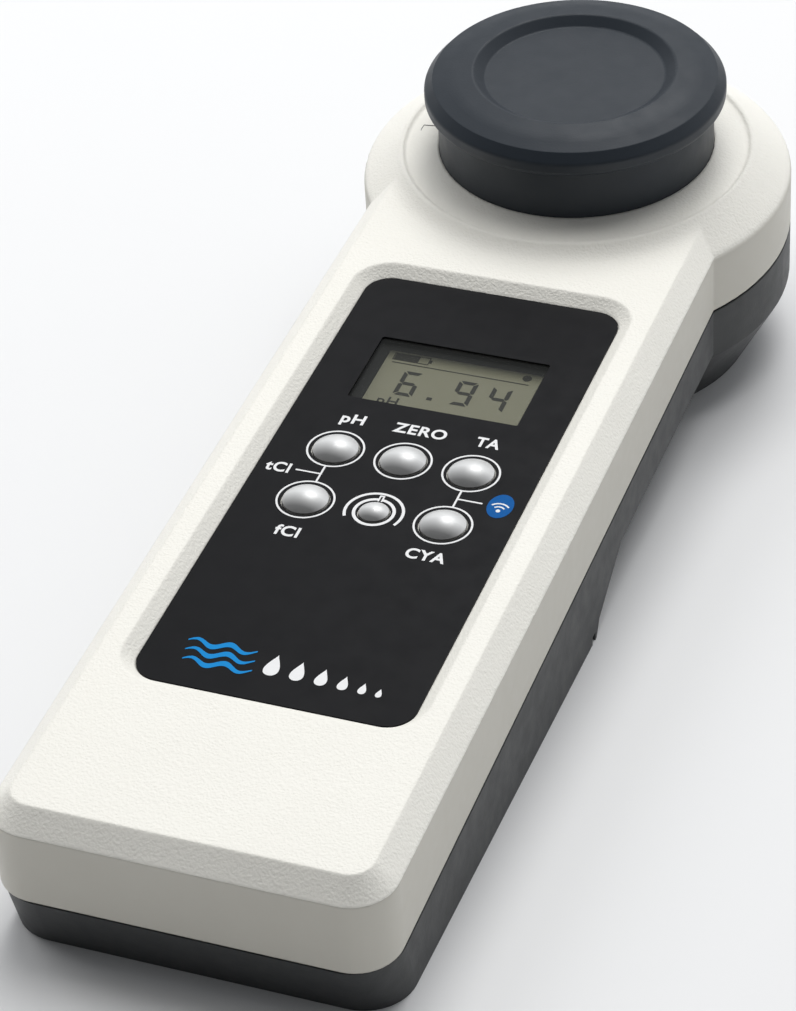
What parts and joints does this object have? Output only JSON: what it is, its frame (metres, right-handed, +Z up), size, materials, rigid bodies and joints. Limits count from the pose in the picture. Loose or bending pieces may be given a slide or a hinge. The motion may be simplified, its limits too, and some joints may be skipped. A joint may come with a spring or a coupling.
{
  "type": "digital water tester",
  "caption": "Hand-held water photometer: white grip with display and keys, round head with a sample well under a lift-off dark cap.",
  "frame": {"origin": "centre of the bounding box in plan, on the plane the tester rests on", "axes": "+Z up; +Y from the tail of the grip towards the round head; +X to the right seen from the tail"},
  "size_m": [0.0624, 0.1856, 0.0456],
  "materials": {
    "shell_white": "fine spark-eroded top, smoother walls, warm white",
    "shell_dark": "dark grey, fine texture",
    "seal_black": "soft black",
    "overlay_black": "printed film, satin",
    "clear_window": "clear, glossy",
    "lcd": "grey-green display",
    "white_plastic": "matte white",
    "black_plastic": "matte black",
    "key_silver": "silver-lacquered satin dome",
    "contact_steel": "nickel plated",
    "screw_steel": "bright",
    "brass": "turned",
    "board_green": "glass-fibre board with green resist",
    "chip_black": "moulded epoxy",
    "module_can": "pressed shield can",
    "cuvette_clear": "clear optical plastic, polished",
    "cap_dark": "dark grey, satin",
    "cell_jacket": "printed jacket",
    "label_film": "blank silver film",
    "flex_amber": "polyimide film",
    "led_green": "tinted epoxy",
    "led_amber": "tinted epoxy",
    "led_red": "tinted epoxy"
  },
  "bodies": {
    "housing": {"upper_shell": "shell_white", "lower_shell": "shell_dark", "shell_gasket": "seal_black", "front_overlay": "overlay_black", "display_window": "clear_window", "lcd_frame": "black_plastic", "lcd_glass": "lcd", "lcd_reflector": "white_plastic", "zebra_strip": "seal_black", "snap_domes": "contact_steel", "main_board": "board_green", "board_screws": "screw_steel", "processor": "chip_black", "radio_module": "module_can", "small_components": "chip_black", "battery_lead_socket": "white_plastic", "housing_screws": "screw_steel", "sample_cuvette": "cuvette_clear", "cuvette_seal": "seal_black", "well_collar": "black_plastic", "optics_block": "black_plastic", "led_board": "board_green", "detector_board": "board_green", "photodiode": "chip_black", "optics_screws": "screw_steel", "optics_flex": "flex_amber", "led_green": "led_green", "led_amber": "led_amber", "led_red": "led_red", "cover_inserts": "brass", "cell_left": "cell_jacket", "cell_middle": "cell_jacket", "cell_right": "cell_jacket", "tail_contacts": "contact_steel", "head_contacts": "contact_steel"},
    "cap": {"light_shield_cap": "cap_dark", "cap_seal": "seal_black"},
    "battery_door": {"battery_cover": "shell_dark", "cover_gasket": "seal_black", "cover_screws": "screw_steel", "rating_label": "label_film"},
    "key_top_left_body": {"key_top_left": "key_silver"},
    "key_top_middle_body": {"key_top_middle": "key_silver"},
    "key_top_right_body": {"key_top_right": "key_silver"},
    "key_bottom_left_body": {"key_bottom_left": "key_silver"},
    "key_power_body": {"key_power": "key_silver"},
    "key_bottom_right_body": {"key_bottom_right": "key_silver"}
  },
  "joints": [
    {"name": "cap_lift", "type": "slide", "parent": "housing", "child": "cap", "axis": [0, -0.0559, 0.9984], "range_m": [0, 0.035]},
    {"name": "battery_cover_removal", "type": "slide", "parent": "housing", "child": "battery_door", "axis": [0, 0, -1], "range_m": [0, 0.03]},
    {"name": "key_top_left_press", "type": "slide", "parent": "housing", "child": "key_top_left_body", "axis": [0, 0.0559, -0.9984], "range_m": [0, 0.0004], "stiffness_N_per_m": 1500, "springref_m": -0.0002},
    {"name": "key_top_middle_press", "type": "slide", "parent": "housing", "child": "key_top_middle_body", "axis": [0, 0.0559, -0.9984], "range_m": [0, 0.0004], "stiffness_N_per_m": 1500, "springref_m": -0.0002},
    {"name": "key_top_right_press", "type": "slide", "parent": "housing", "child": "key_top_right_body", "axis": [0, 0.0559, -0.9984], "range_m": [0, 0.0004], "stiffness_N_per_m": 1500, "springref_m": -0.0002},
    {"name": "key_bottom_left_press", "type": "slide", "parent": "housing", "child": "key_bottom_left_body", "axis": [0, 0.0559, -0.9984], "range_m": [0, 0.0004], "stiffness_N_per_m": 1500, "springref_m": -0.0002},
    {"name": "key_power_press", "type": "slide", "parent": "housing", "child": "key_power_body", "axis": [0, 0.0559, -0.9984], "range_m": [0, 0.0004], "stiffness_N_per_m": 1500, "springref_m": -0.0002},
    {"name": "key_bottom_right_press", "type": "slide", "parent": "housing", "child": "key_bottom_right_body", "axis": [0, 0.0559, -0.9984], "range_m": [0, 0.0004], "stiffness_N_per_m": 1500, "springref_m": -0.0002}
  ]
}
